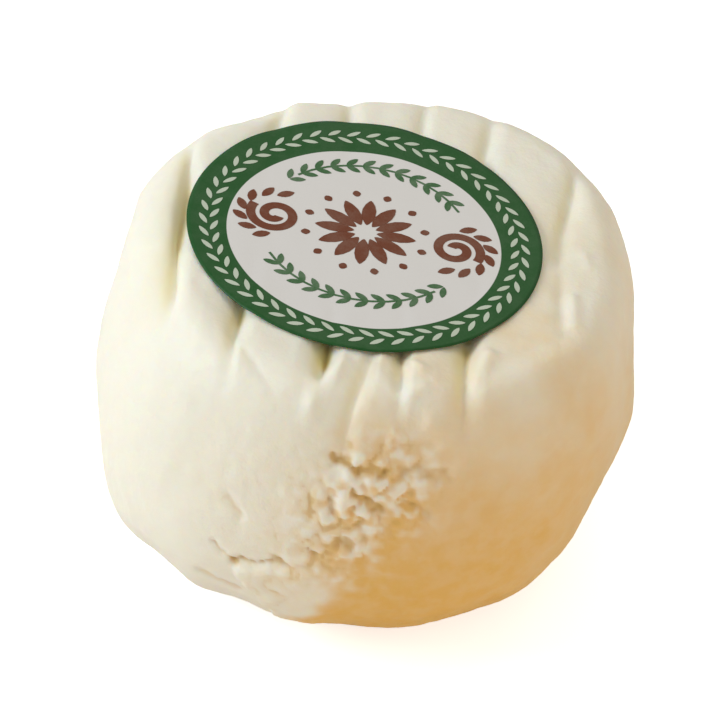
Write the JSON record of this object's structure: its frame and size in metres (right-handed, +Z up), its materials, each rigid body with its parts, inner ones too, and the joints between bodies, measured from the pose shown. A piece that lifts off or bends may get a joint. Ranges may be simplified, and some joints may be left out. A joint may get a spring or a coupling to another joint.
{
  "type": "crottin goat cheese",
  "caption": "Fresh farm goat cheese, a squat uneven drum with cloth creases over the top, a crumbly front and a round paper label.",
  "frame": {"origin": "middle of the flat base that the cheese rests on", "axes": "+Z up, -Y towards the crumbly front, creases run along Y"},
  "size_m": [0.0632, 0.0669, 0.0381],
  "materials": {
    "curd": "soft fresh curd, cream white, moist satin, crumbly where broken",
    "label_paper": "smooth printed paper, off-white with a green ring"
  },
  "bodies": {
    "root": {"cheese": "curd", "label": "label_paper"}
  },
  "joints": []
}
